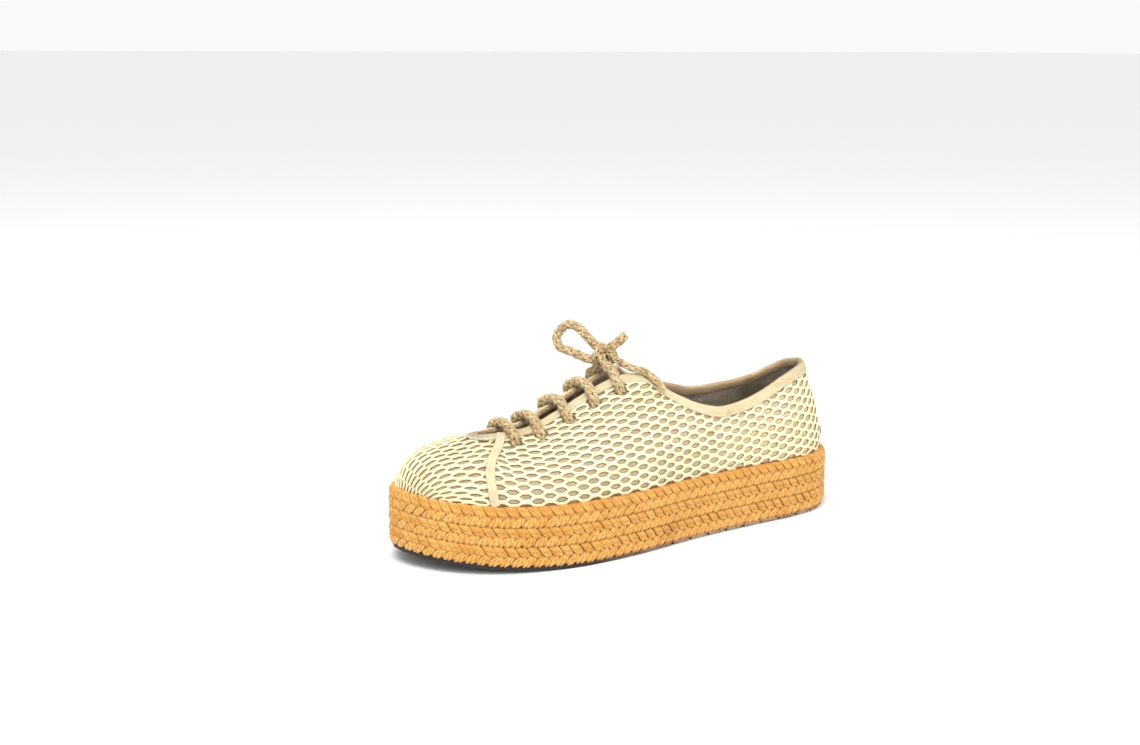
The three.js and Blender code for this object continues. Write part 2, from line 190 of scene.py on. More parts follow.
def piece(name, parts, materials):
    """One mesh from many parts. A part has points, arrays of faces and, where they matter, its
    points' grain and tone, and the number of its material, or a list with one for each array."""
    points, grain, tone, loops, sizes, slots = [], [], [], [], [], []
    base = 0
    for part in parts:
        points.append(part["points"])
        grain.append(part.get("grain", part["points"]))
        tone.append(np.broadcast_to(part.get("tone", 0.5), len(part["points"])))
        slot = part.get("slot", 0)
        for number, faces in enumerate(part["faces"]):
            loops.append(faces.ravel() + base)
            sizes.append(np.full(len(faces), faces.shape[1]))
            slots.append(np.broadcast_to(slot[number] if isinstance(slot, list) else slot,
                                         len(faces)))
        base += len(part["points"])
    points, loops, sizes = np.vstack(points), np.concatenate(loops), np.concatenate(sizes)
    mesh = bpy.data.meshes.new(name)
    mesh.vertices.add(len(points))
    mesh.loops.add(len(loops))
    mesh.polygons.add(len(sizes))
    for data, key, values, kind in (
            (mesh.vertices, "co", points, np.float32),
            (mesh.loops, "vertex_index", loops, np.int32),
            (mesh.polygons, "loop_start", np.r_[0, np.cumsum(sizes)[:-1]], np.int32),
            (mesh.polygons, "loop_total", sizes, np.int32),
            (mesh.polygons, "material_index", np.concatenate(slots), np.int32),
            (mesh.polygons, "use_smooth", np.full(len(sizes), True), bool)):
        data.foreach_set(key, values.astype(kind).ravel())
    mesh.attributes.new("grain", "FLOAT_VECTOR", "POINT").data.foreach_set(
        "vector", np.vstack(grain).astype(np.float32).ravel())
    mesh.attributes.new("tone", "FLOAT", "POINT").data.foreach_set(
        "value", np.concatenate(tone).astype(np.float32))
    mesh.update(calc_edges=True)
    mesh.validate()
    for material in materials:
        mesh.materials.append(material)
    made = bpy.data.objects.new(name, mesh)
    bpy.context.scene.collection.objects.link(made)
    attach(made, "root")
    return made


# The braid's yarns, as shares of the cord's diameter, and the metres of cord to one turn.
braid_yarns = 8
braid_turn = 0.023
braid_twist = 900.0
braid_tones = (0.35, 0.75)
yarn_seat = 0.315
yarn_crossing = 0.055
yarn_width = 0.37
yarn_thickness = 0.29
yarn_swell = 0.06
yarn_swell_length = 0.0031


def braid(path, diameter, seed):
    """A round cord of eight yarns, four wound each way and crossing over and under."""
    draws = np.random.default_rng(seed)
    side, over = carried_frames(path)
    run = run_along(path)
    yarns = []
    for number in range(braid_yarns):
        hand = 1 if number < braid_yarns / 2 else -1
        angle = hand * 2 * pi * run / braid_turn + number * pi / 2
        weave = hand * np.cos(braid_yarns * pi * run / braid_turn)
        out = side * np.cos(angle)[:, None] + over * np.sin(angle)[:, None]
        line = path + out * (diameter * (yarn_seat + yarn_crossing * weave))[:, None]
        ahead = directions(line)
        outward = square_to(ahead, out)
        swell = 1 + yarn_swell * np.sin(run / yarn_swell_length + draws.uniform(0, 6))
        yarns.append(yarn(line, diameter * yarn_width * swell, diameter * yarn_thickness,
                          np.cross(outward, ahead), outward, tone=draws.uniform(*braid_tones),
                          twist=braid_twist))
    return yarns


hair_length = 0.0042
hair_thickness = 0.00011
hair_proud = 0.0017
hair_taper = 0.75
hair_root = 0.85


def fuzz(path, radius, count, seed):
    """Loose fibres that lie along a cord and stand a little off it."""
    draws = np.random.default_rng(seed)
    side, over = carried_frames(path)
    ahead = directions(path)
    share = np.linspace(0, 1, 5)[:, None]
    thick = hair_thickness * (1 - hair_taper * share[:, 0])
    hairs = []
    for _ in range(count):
        k = draws.integers(1, len(path) - 1)
        angle = draws.uniform(0, 2 * pi)
        out = side[k] * cos(angle) + over[k] * sin(angle)
        around = np.cross(ahead[k], out)
        lean = ahead[k] * draws.uniform(-1, 1) + around * draws.uniform(-1, 1)
        length = draws.uniform(0.35, 1.0) * hair_length
        root = path[k] + out * radius * hair_root
        way = unit(out * draws.uniform(0.25, 0.9) + lean)
        length = min(length, hair_proud / (way @ out))
        bend = unit(np.cross(way, out) + 1e-6) * draws.uniform(-0.4, 0.4)
        line = root + way * length * share + bend * length * share ** 2
        hairs.append(yarn(line, thick, thick, sides=3, tone=draws.uniform(0.5, 1.0)))
    return hairs


def node(tree, kind, inputs=None, **settings):
    made = tree.nodes.new(kind)
    for key, value in settings.items():
        setattr(made, key, value)
    for key, value in (inputs or {}).items():
        if isinstance(value, bpy.types.NodeSocket):
            tree.links.new(value, made.inputs[key])
        else:
            made.inputs[key].default_value = value
    return made


def maths(tree, operation, *values):
    return node(tree, "ShaderNodeMath", dict(enumerate(values)), operation=operation).outputs[0]


def mixed(tree, share, first, second, way="MIX"):
    """Two colours mixed by a share."""
    first, second = ((*c, 1) if isinstance(c, tuple) else c for c in (first, second))
    return node(tree, "ShaderNodeMix", {0: share, 6: first, 7: second},
                data_type="RGBA", blend_type=way).outputs[2]


def between_levels(tree, value, low, high):
    """A value from 0 at low to 1 at high."""
    return node(tree, "ShaderNodeMapRange", {"Value": value, "From Min": low, "From Max": high},
                interpolation_type="SMOOTHSTEP").outputs[0]


def noise(tree, where, size, detail=3.0, roughness=0.55, stretch=(1, 1, 1)):
    """Soft spots of this size in metres, drawn out along the axes by stretch."""
    spots = node(tree, "ShaderNodeMapping",
                 {"Vector": where, "Scale": tuple(1 / (size * s) for s in stretch)})
    return node(tree, "ShaderNodeTexNoise",
                {"Vector": spots.outputs[0], "Scale": 1.0, "Detail": detail,
                 "Roughness": roughness}).outputs["Fac"]


def marked(tree, where, colour, marks):
    """A colour with darker marks on it: each has a size, the noise level that it starts at, the
    width of its soft border, its tint and its detail."""
    for size, level, border, tint, detail in marks:
        spread = between_levels(tree, noise(tree, where, size, detail), level, level + border)
        colour = mixed(tree, spread, colour, tint, "MULTIPLY")
    return colour


def new_material(name, roughness, sheen=0.0):
    material = bpy.data.materials.new(name)
    material.use_nodes = True
    tree = material.node_tree
    shader = tree.nodes["Principled BSDF"]
    shader.inputs["Roughness"].default_value = roughness
    shader.inputs["Specular IOR Level"].default_value = 0.25
    shader.inputs["Sheen Weight"].default_value = sheen
    shader.inputs["Sheen Roughness"].default_value = 0.6
    where = node(tree, "ShaderNodeTexCoord").outputs["Object"]
    return material, tree, shader, where


def point_value(tree, name, output):
    return node(tree, "ShaderNodeAttribute", attribute_name=name).outputs[output]


def finished(tree, shader, colour, height, depth):
    """The shader takes this colour, and a relief of this depth."""
    tree.links.new(colour, shader.inputs["Base Color"])
    relief = node(tree, "ShaderNodeBump", {"Height": height, "Distance": depth, "Strength": 1.0})
    tree.links.new(relief.outputs[0], shader.inputs["Normal"])


def yarn_material(name, pale, middle, dark, fibre=0.00022, depth=0.00025, streaky=0.52,
                  under=None, marks=()):
    """Spun plant fibre: fine streaks along each yarn, some yarns paler than others; under is
    the colour of what has a tone of 0, used for the painted shadow under the net's strands."""
    material, tree, shader, where = new_material(name, 0.92, sheen=0.15)
    tone = point_value(tree, "tone", "Fac")
    streaks = noise(tree, point_value(tree, "grain", "Vector"), fibre, stretch=(9, 1, 1))
    share = maths(tree, "MULTIPLY", tone, noise(tree, where, 0.0011, detail=4.0))
    light = mixed(tree, between_levels(tree, share, 0.12, 0.42), middle, pale)
    colour = mixed(tree, between_levels(tree, streaks, streaky - 0.22, streaky), dark, light)
    # A tone of 0 takes the under colour: painted shadow.
    if under:
        colour = mixed(tree, between_levels(tree, tone, 0.0, 0.12), under, colour)
    finished(tree, shader, marked(tree, where, colour, marks), streaks, depth)
    return material


jute_lace = yarn_material("jute_lace", (0.76, 0.61, 0.36), (0.58, 0.43, 0.215),
                          (0.24, 0.15, 0.058), fibre=0.00042, depth=0.0005, streaky=0.58,
                          marks=[(0.02, 0.55, 0.12, (0.86, 0.8, 0.72), 3.0)])
lace_diameter = 0.0052
long_end_diameter = 0.0042
knot_diameter = 0.0046
knot_radius = 0.0025
lace_step = 0.0008


def lace_part(name, points, fine, seed, hairs, diameter=lace_diameter):
    """A free length of the lace through these points, and its path."""
    path = even(smooth(points, fine), step=lace_step)
    parts = braid(path, diameter, seed) + fuzz(path, diameter / 2, hairs, seed + 50)
    made = piece(name, parts, [jute_lace])
    return made, path


loop_points = from_rows([
    (142, -5, 96.4), (144.6, -11, 101.2), (147.3, -18, 106.4), (149.9, -23, 107.4),
    (152.5, -27.4, 104), (154.4, -28.4, 99.6), (154.2, -25.4, 95.4), (151.2, -18, 93.6),
    (147.9, -11, 91.6), (144.2, -5.2, 90.4)])
short_end_points = from_rows([(138.2, 0.6, 98.2), (134.6, 2.4, 100.8), (131, 3.4, 104.4)])
long_end_points = from_rows([
    (138.6, 3.4, 93.2), (135, 6.4, 90.4), (131.5, 9.9, 88.1), (127.6, 13.8, 87),
    (124, 17.4, 84.4), (121.2, 20.6, 80.8), (119.6, 22.6, 77.4)])
bow_loop, loop_path = lace_part("lace_loop", loop_points, fine=264, seed=11, hairs=130)
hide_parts("bow_loop")
bow_short_end, _ = lace_part("lace_short_end", short_end_points, fine=72, seed=12, hairs=30)
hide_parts("bow_short_end")
bow_long_end, long_path = lace_part("lace_long_end", long_end_points, fine=120, seed=13,
                                    hairs=60, diameter=long_end_diameter)
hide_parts("bow_long_end")

knot_turns = from_rows([
    (137.2, -4.6, 90.2), (140.2, -5.6, 89.0), (143.8, -4.4, 90.6), (145.2, -2.2, 94.2),
    (143.2, -0.6, 97.2), (139.6, 0.2, 97.6), (136.6, 0.6, 94.6), (137.4, 1.0, 91.0),
    (140.8, 1.6, 89.4), (144.0, 1.8, 91.6), (144.6, 2.0, 95.0)])
knot_cross = from_rows([
    (138.6, 3.4, 93.2), (140.2, 1.4, 96.6), (141.4, -2.4, 98.4), (142, -5, 96.4)])
knot_under = from_rows([
    (144.2, -5.2, 90.4), (141.6, -3.6, 91.6), (139.2, -1.6, 94.6), (138.2, 0.6, 98.2)])
knot_parts = []
for seed, points in enumerate((knot_turns, knot_cross, knot_under)):
    knot_path = even(smooth(points, 160), step=lace_step)
    knot_parts += braid(knot_path, knot_diameter, seed + 20)
    knot_parts += fuzz(knot_path, knot_radius, 30, seed + 70)
bow_knot = piece("lace_knot", knot_parts, [jute_lace])
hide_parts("bow_knot")

# Outsole. A thin tan rubber sheet glued under the rope, moulded with grooves that run out at the
# edge under the heel and waist; its edge is scuffed, and towards the toe it is painted near black
# as shade.
rubber, tree, shader, where = new_material("tan_rubber", 0.72)


def lengthwise(tree, where, low, high):
    """A value from 0 to 1 between two places along the shoe."""
    along = node(tree, "ShaderNodeSeparateXYZ", {0: where}).outputs["Y"]
    return between_levels(tree, along, low, high)


scuffs = noise(tree, where, 0.0035, detail=6.0, roughness=0.7)
colour = mixed(tree, between_levels(tree, scuffs, 0.42, 0.66), (0.4, 0.28, 0.19),
               (0.2, 0.14, 0.1))
colour = marked(tree, where, colour, [(0.012, 0.5, 0.2, (0.55, 0.5, 0.46), 3.0)])
# Near black towards the toe: painted shade in the gap under the toe spring.
colour = mixed(tree, lengthwise(tree, where, -0.06, 0.03), (0.035, 0.028, 0.024), colour)
finished(tree, shader, colour, noise(tree, where, 0.0007, detail=5.0), 0.0002)
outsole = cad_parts["outsole"]
outsole.data.materials.clear()
outsole.data.materials.append(rubber)

# Platform. Three rows of jute braid wound round a jute core and stitched to each other, each row
# a flat plait seen from its edge: pairs of plies slant in from both borders and meet on a line
# along the row's middle. The top row rolls over the rim as far as the upper.
outline_sections = [
    (0, -3, -3), (3, -15, 11), (10, -24, 22), (22, -30, 30.5), (40, -33, 35), (68, -33.5, 37),
    (108, -34.2, 41), (150, -41.5, 48.5), (188, -46.3, 50.2), (222, -41.5, 42.5),
    (244, -31, 29), (257, -17, 13), (262, -3, -3)]
outsole_thickness = 0.0024
layer_gap = 0.0003
layer_height = 0.00975
toe_layer_height = 0.0091
toe_spring = 0.0076
spring_start = 0.178
outline_points = 720
around_points = 2400


def along_of(points):
    return sole_length / 2 - points[..., 1]


def spring_share(along):
    """How far a place lies from where the toe spring starts, as a share of the way to the toe."""
    return np.clip((along - spring_start) / (sole_length - spring_start), 0, 1)


def layer_height_at(along):
    t = spring_share(along)
    return layer_height + (toe_layer_height - layer_height) * t * t * (3 - 2 * t)


def layer_bottom(number, along):
    return (toe_spring * spring_share(along) ** 2 + outsole_thickness + layer_gap
            + number * (layer_height_at(along) + layer_gap))


def round_step(ring):
    """From the point before each point of a ring to the point after it."""
    return np.roll(ring, -1, axis=0) - np.roll(ring, 1, axis=0)


section_along, section_medial, section_lateral = np.array(outline_sections).T / 1000
lateral_edge = place(section_along, section_lateral, 0)
medial_edge = place(section_along, section_medial, 0)[-2:0:-1]
fine_outline = smooth(np.vstack([lateral_edge, medial_edge]), outline_points, closed=True)
outline_inward = unit(np.cross(round_step(fine_outline), UP))


def outline_ring(inset, count):
    """The platform's outline this far in, from the heel round the lateral side to the toe."""
    return even(fine_outline + outline_inward * inset, count=count, closed=True)


around = outline_ring(0.0, around_points)
around_step = np.linalg.norm(around[1] - around[0])
around_length = around_step * len(around)
around_outward = unit(np.cross(UP, round_step(around)))


def between(values, spot):
    """Values round a ring, read between its points."""
    k = np.floor(spot).astype(int)
    share = (spot - k)[..., None]
    return values[k % len(values)] * (1 - share) + values[(k + 1) % len(values)] * share


def section_curve(rows):
    """A row's edge in section: how far in and how high it is, by share of the way up."""
    fine = smooth(np.array(rows) / 1000, 60)
    run = run_along(fine)
    return run / run[-1], fine[:, 0], fine[:, 1]


low_border = [(0.3, -0.15), (0.1, 1.3), (0, 3.2)]
plain_section = section_curve(low_border + [(0, 6.4), (0.1, 8.4), (0.3, 9.9)])
rim_section = section_curve(low_border + [(0.1, 5.8), (0.6, 8.0), (1.8, 9.5), (3.6, 9.9)])
section_step = 0.02


def on_row(number, section, run, share):
    """Points on a row's edge, and the directions out of it."""
    spot = (run % around_length) / around_step
    point, outward = between(around, spot), unit(between(around_outward, spot))
    inset, height = (np.interp(share, section[0], values) for values in section[1:])
    slope_in, slope_up = (np.interp(share + section_step, section[0], values)
                          - np.interp(share - section_step, section[0], values)
                          for values in section[1:])
    along = along_of(point)
    point = point - outward * inset[..., None]
    point[..., 2] = layer_bottom(number, along) + height / layer_height * layer_height_at(along)
    return point, unit(outward * slope_up[..., None] + UP * slope_in[..., None])


core_points = 180
core_section = [(0.0016, 0.0), (0.0013, 0.2), (0.0013, 0.8), (0.0016, 0.99)]


def row_core(number):
    """The dark wound core behind a row's plies, closed above and below."""
    rings = []
    for inset, share in core_section:
        ring = outline_ring(inset, core_points)
        along = along_of(ring)
        ring[:, 2] = layer_bottom(number, along) + share * layer_height_at(along)
        rings.append(ring)
    return {"points": np.vstack(rings), "slot": 1,
            "faces": [ring_faces(len(rings), core_points), *end_faces(len(rings), core_points)]}


# A ply swells and rises on its way from the border, then thins and dives under the meeting line.
pair_pitch = 0.0056
ply_width = 0.0028
ply_thickness = 0.0019
ply_way = np.linspace(0, 1, 9)
ply_fullness = np.interp(ply_way, [0, 0.15, 0.45, 0.8, 1], [0.85, 0.95, 1.0, 0.72, 0.2])
ply_rise = np.interp(ply_way, [0, 0.2, 0.5, 0.8, 1], [0.8, 0.95, 1.0, 0.75, -0.3])
ply_proud = 0.0012
ply_depth = 0.0018
ply_apart = 0.185
ply_shift = 0.00018
ply_bend = 0.9
ply_twist = 500.0


def row_plies(number, section, start, end, slant, seed, tones):
    """The plies of half a row, from its border at share start to just past the meeting line."""
    draws = np.random.default_rng(seed)
    pairs = int(round(around_length / pair_pitch))
    pitch = around_length / pairs
    parts = []
    for pair in range(pairs):
        first = (pair + (0.5 if start > end else 0.0)) * pitch
        for hand in (-1, 1):
            widen = draws.uniform(0.92, 1.1)
            shift = draws.normal(0, ply_shift)
            lift = draws.uniform(0.85, 1.15)
            apart = hand * pitch * ply_apart * (0.5 + 0.5 * ply_fullness)
            run = first + shift - slant * ply_way ** ply_bend + apart
            spot, normal = on_row(number, section, run, start + (end - start) * ply_way)
            line = spot + normal * (ply_proud * ply_rise * lift - ply_depth)[:, None]
            ahead = directions(line)
            over = square_to(ahead, normal)
            parts.append(yarn(line, ply_width * widen * (0.3 + 0.7 * ply_fullness),
                              ply_thickness * (0.45 + 0.55 * ply_fullness),
                              np.cross(over, ahead), over, sides=7,
                              tone=draws.uniform(*tones), twist=ply_twist))
    return parts


jute_ply = yarn_material("jute_braid", (0.76, 0.415, 0.105), (0.62, 0.3, 0.056),
                         (0.27, 0.105, 0.014), fibre=0.0005, depth=0.0004,
                         marks=[(0.025, 0.62, 0.12, (0.85, 0.78, 0.68), 3.0),
                                (0.005, 0.7, 0.06, (0.45, 0.38, 0.33), 4.0)])
jute_core = yarn_material("jute_core", (0.6, 0.25, 0.045), (0.5, 0.19, 0.03),
                          (0.3, 0.11, 0.015))
high_lap = 0.1
low_lap = 0.08
low_slant = 0.0056
# The upper plies take darker tones than the lower ones: painted shade on the upper slant.
shaded_high_tones = (0.25, 0.7)
lit_low_tones = (0.4, 0.9)
# Each row's section, how far up it the plies meet, and how far its upper plies lean.
row_facts = [("bottom", plain_section, 0.46, 0.0050), ("middle", plain_section, 0.48, 0.0050),
             ("top", rim_section, 0.38, 0.0056)]
for number, (name, section, meeting, slant) in enumerate(row_facts):
    high_end = meeting - high_lap
    low_end = meeting + low_lap
    parts = [row_core(number)]
    parts += row_plies(number, section, 1.0, high_end, slant, 30 + number, shaded_high_tones)
    parts += row_plies(number, section, 0.0, low_end, low_slant, 40 + number, lit_low_tones)
    row = piece("jute_row_" + name, parts, [jute_ply, jute_core])
    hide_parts("jute_layer_" + name)

# Canvas body. A beige cotton canvas cut and lasted to the foot, backed with a grey-brown woven
# lining; worn soft, with creases at the instep and the toe.
lip = 0.0032
feather_points = 960
# The upper's ribs, in millimetres and degrees: how far each stands from the heel and how far its
# top edge lies from it, that edge's place on the two sides, its height and how much lower it is
# on the medial side, then the slope and reach of the rib's foot, and those of its top.
rib_sections = [
    (0, 13, 0, 0, 79.6, 0, -2, 16, 20, 16),
    (10, 17, 7.5, -7.5, 78.8, 0.5, -2, 16, 22, 16),
    (24, 25.5, 11.5, -12, 76.8, 2.5, 0, 16, 26, 16),
    (38, 37, 15, -16, 73.8, 4.5, 4, 17, 28, 15),
    (56, 54, 19, -20.5, 68.4, 2.5, 5, 15, 27, 13),
    (72, 70, 22.5, -23, 65.3, 0.5, 6, 13, 25, 12),
    (88, 84, 24.5, -24.5, 64.4, -3.5, 7, 13, 26, 12),
    (100, 96, 24.3, -24.3, 67, -4.5, 7, 13, 30, 13),
    (113, 109, 21.8, -22, 72.5, -3, 7, 14, 38, 15),
    (124, 119, 17, -17, 78.8, -1, 7.5, 15, 46, 17),
    (133, 127, 12, -12, 84.6, 0, 8, 16, 53, 20),
    (143, 135, 8, -8, 84, 0, 8, 16, 58, 20),
    (160, 150, 5.8, -5.6, 79, 0, 9, 15, 62, 20),
    (184, 172, 5.3, -5.2, 69, 0, 10, 13, 66, 20),
    (206, 192, 5.1, -5, 61.4, 0, 11, 12, 66, 20),
    (225, 206, 4.6, -4.6, 60.2, 0, 2, 16.5, 73, 22),
    (243, 214, 2.8, -2.8, 59.8, 0, -11, 19.5, 78, 25),
    (257, 216, 0, 0, 59.6, 0, -13, 19, 79, 25)]
feather = outline_ring(lip, feather_points)
feather_length = float(np.linalg.norm(np.roll(feather, -1, axis=0) - feather, axis=1).sum())


def share_at(foot, lateral):
    """How far round the feather line, as a share of it, a rib stands at this distance."""
    half = len(feather) // 2
    first = 0 if lateral else half
    ring = along_of(feather[first:first + half])
    return (first + int(np.argmin(abs(ring - foot)))) / len(feather)


def rib_row(section, lateral, share=None):
    """A rib's share of the way round the sole and its facts, in metres and radians."""
    foot, along, out, into, height, lower, lean, reach, fall, drop = section
    across, level = (out, height) if lateral else (into, height - lower)
    return (share_at(foot / 1000, lateral) if share is None else share, along / 1000,
            across / 1000, level / 1000, radians(lean), reach / 1000, radians(fall), drop / 1000)


inner_sections = rib_sections[1:-1]
rib_rows = np.array([rib_row(rib_sections[0], True, 0.0)]
                    + [rib_row(section, True) for section in inner_sections]
                    + [rib_row(rib_sections[-1], True, 0.5)]
                    + [rib_row(section, False) for section in inner_sections[::-1]])
rib_shares = np.r_[rib_rows[-2:, 0] - 1, rib_rows[:, 0], rib_rows[:3, 0] + 1]
rib_facts = np.vstack([rib_rows[-2:], rib_rows, rib_rows[:3]])[:, 1:]


def rib_values(share):
    """The ribs' facts between the rows of the table, without overshoot."""
    slope = np.diff(rib_facts, axis=0) / np.diff(rib_shares)[:, None]
    product = slope[:-1] * slope[1:]
    total = slope[:-1] + slope[1:]
    tangent = np.where(product > 0, 2 * product / np.where(product > 0, total, 1), 0)
    k = np.clip(np.searchsorted(rib_rows[:, 0], share, side="right") - 1, 0,
                len(rib_rows) - 1) + 2
    width = (rib_shares[k + 1] - rib_shares[k])[:, None]
    t = (share - rib_shares[k])[:, None] / width
    return (rib_facts[k] + (rib_facts[k + 1] - rib_facts[k]) * t * t * (3 - 2 * t)
            + width * (t * (1 - t) ** 2 * tangent[k - 1] - t * t * (1 - t) * tangent[k]))


def rib_controls(share):
    """The four control points of the upper's rib at each share of the way round."""
    share = share - np.floor(share)
    spot = share * len(feather)
    k = np.floor(spot).astype(int) % len(feather)
    ahead = (k + 1) % len(feather)
    foot = feather[k] + (feather[ahead] - feather[k]) * (spot - np.floor(spot))[:, None]
    foot[:, 2] = layer_bottom(3, along_of(foot))
    outward = unit(np.cross(feather[k] - feather[ahead], UP))
    along, across, height, lean, reach, fall, drop = rib_values(share).T
    edge = place(along, across, height)
    away = unit((foot - edge) * (1, 1, 0))
    low = foot + UP * (reach * np.cos(lean))[:, None] + outward * (reach * np.sin(lean))[:, None]
    high = edge - UP * (drop * np.cos(fall))[:, None] + away * (drop * np.sin(fall))[:, None]
    return foot, low, high, edge


def skin(share, rise):
    """The upper's smooth outer surface; rise goes from 0 at the sole to 1 at the top edge, and
    past either end it runs straight on."""
    share, rise = np.broadcast_arrays(np.asarray(share, float), np.asarray(rise, float))
    c0, c1, c2, c3 = rib_controls(share.ravel())
    t = np.clip(rise.ravel(), 0, 1)[:, None]
    past = rise.ravel()[:, None] - t
    point = (c0 * (1 - t) ** 3 + 3 * c1 * t * (1 - t) ** 2 + 3 * c2 * t * t * (1 - t)
             + c3 * t ** 3)
    ahead = 3 * np.where(t < 0.5, c1 - c0, c3 - c2)
    return (point + ahead * past).reshape(share.shape + (3,))


def skin_normal(share, rise):
    inside = np.clip(rise, 0, 1)
    round_it = skin(share + 0.002, inside) - skin(share - 0.002, inside)
    up_it = skin(share, np.minimum(inside + 0.02, 1)) - skin(share, np.maximum(inside - 0.02, 0))
    return unit(np.cross(up_it, round_it))


# Soft troughs and ridges, each by its two ends on the upper, its depth and its width in
# millimetres: an end's foot is where its rib stands, its rise how far up the rib it lies.
creases = [
    (True, (224, 0.86), (212, 0.42), 1.1, 5.5), (True, (205, 0.80), (198, 0.45), 0.6, 7.0),
    (True, (236, 0.70), (228, 0.30), -0.5, 6.0), (True, (124, 0.62), (150, 0.30), 0.9, 8.0),
    (True, (60, 0.66), (96, 0.50), 0.7, 7.0), (True, (20, 0.50), (44, 0.30), 0.6, 7.0),
    (False, (226, 0.84), (210, 0.40), 1.0, 6.0), (False, (120, 0.60), (148, 0.32), 0.9, 8.0),
    (False, (60, 0.62), (92, 0.48), 0.8, 7.0), (True, (250, 0.62), (240, 0.86), 0.7, 6.0)]
crease_fade = 1.5
crease_least = 0.25
ridge_height = 0.35
ridge_away = 1.7
crease_lines = []
for lateral, first, last, depth, width in creases:
    foot, rise = np.linspace(first, last, 9).T
    share = np.array([share_at(f / 1000, lateral) for f in foot])
    crease_lines.append((skin(share, rise), depth / 1000, width / 1000))


def softened(points):
    """How far the creases push the cloth out or in at these points: a trough with a low ridge
    on each side, fading out at both ends."""
    push = np.zeros(points.shape[:-1])
    for line, depth, width in crease_lines:
        starts, runs = line[:-1], np.diff(line, axis=0)
        gap = points[..., None, :] - starts
        t = np.clip((gap * runs).sum(-1) / (runs * runs).sum(-1), 0, 1)
        nearest = np.linalg.norm(gap - runs * t[..., None], axis=-1).min(-1) / width
        ends = np.minimum(*(np.linalg.norm(points - end, axis=-1) for end in line[[0, -1]]))
        fade = np.clip(ends / (crease_fade * width), crease_least, 1)
        ridge = ridge_height * np.exp(-(nearest - ridge_away) ** 2)
        push -= depth * fade * (np.exp(-nearest ** 2) - ridge)
    return push


def on_upper(share, rise, off=0.0):
    """Points this far off the upper's creased surface."""
    point = skin(share, rise)
    normal = skin_normal(share, rise)
    return point + normal * (softened(point) + off)[..., None], normal


rib_fine = np.linspace(0, 1, 33)


def rise_at(share, climb=0.0, down=None):
    """The rise at this distance up each rib from the sole, or down it from the top edge, and the
    rib's whole length."""
    shape = np.shape(share)
    points = skin(np.ravel(share)[:, None], rib_fine[None])
    steps = np.linalg.norm(np.diff(points, axis=1), axis=2)
    reach = np.pad(np.cumsum(steps, axis=1), ((0, 0), (1, 0)))
    goal = np.ravel(np.broadcast_to(climb, shape)) if down is None else reach[:, -1] - down
    k = np.clip((reach <= goal[:, None]).sum(1) - 1, 0, len(rib_fine) - 2)
    rows = np.arange(len(goal))
    span = reach[rows, k + 1] - reach[rows, k]
    rise = rib_fine[k] + (goal - reach[rows, k]) / span / (len(rib_fine) - 1)
    return rise.reshape(shape), reach[:, -1].reshape(shape)


hole_along = [0.2015, 0.187, 0.171, 0.1555, 0.141]
hole_from_edge = 0.0098
hole_radius = 0.003
punch_length = 0.008
corner_foot = 0.133
corner_shares = {side: share_at(corner_foot, side) for side in (True, False)}


def spot_on(lateral, along, from_edge):
    """The share and rise of the spot at this distance from the heel and from the slot's edge."""
    low, high = (corner_shares[True], 0.5) if lateral else (0.5, corner_shares[False])
    for _ in range(30):
        share = np.array([(low + high) / 2])
        rise, _ = rise_at(share, down=from_edge)
        if (along_of(skin(share, rise))[0] < along) == lateral:
            low = share[0]
        else:
            high = share[0]
    return share, rise


hole_spots = [spot_on(lateral, along, hole_from_edge)
              for lateral in (True, False) for along in hole_along]
hole_centres = np.array([skin(*spot)[0] for spot in hole_spots])
canvas_depth = 0.00045
lining_depth = 0.0019
canvas_columns = 330
canvas_rows = 40


def canvas_body():
    """The canvas and its lining as one closed shell."""
    share = np.arange(canvas_columns) / canvas_columns
    _, reach = rise_at(share)
    share, rise = np.meshgrid(share, np.linspace(0, 1, canvas_rows))
    outer, _ = on_upper(share, rise, -canvas_depth)
    inner, _ = on_upper(share, rise, -lining_depth)
    cloth = np.stack([share * feather_length, rise * reach, 0 * rise], -1).reshape(-1, 3)
    count = len(cloth)
    low = np.arange(canvas_columns)
    low_next = (low + 1) % canvas_columns
    to_top = (canvas_rows - 1) * canvas_columns
    edges = np.vstack([np.stack([low_next, low, low + count, low_next + count], -1),
                       np.stack([low, low_next, low_next + count, low + count], -1) + to_top])
    return {"points": np.vstack([outer.reshape(-1, 3), inner.reshape(-1, 3)]),
            "faces": [ring_faces(canvas_rows, canvas_columns),
                      ring_faces(canvas_rows, canvas_columns, flip=True) + count, edges],
            "grain": np.vstack([cloth, cloth]), "slot": [0, 1, 0]}


def cloth_material(name, pale, dark, thread, depth=0.00025, marks=(), front=None):
    """Plain woven cloth: threads each way, a little uneven, with worn and stained patches; front
    is a tint multiplied in towards the toe, which leaves the cloth greyer and darker there."""
    material, tree, shader, where = new_material(name, 0.93, sheen=0.12)
    grain = point_value(tree, "grain", "Vector")
    split = node(tree, "ShaderNodeSeparateXYZ", {0: grain})
    wobble = noise(tree, grain, 0.004)
    waves = []
    for axis in ("X", "Y"):
        angle = maths(tree, "MULTIPLY", split.outputs[axis], 2 * pi / thread)
        waves.append(maths(tree, "SINE", maths(tree, "MULTIPLY_ADD", wobble, 14.0, angle)))
    slubs = noise(tree, grain, thread * 1.6, stretch=(4, 1, 1))
    height = maths(tree, "MULTIPLY_ADD", slubs, 1.6, maths(tree, "MULTIPLY", *waves))
    colour = mixed(tree, between_levels(tree, height, -0.2, 1.7), dark, pale)
    colour = marked(tree, where, colour, marks)
    if front:
        colour = mixed(tree, lengthwise(tree, where, 0.075, -0.02), colour, front, "MULTIPLY")
    finished(tree, shader, colour, height, depth)
    return material


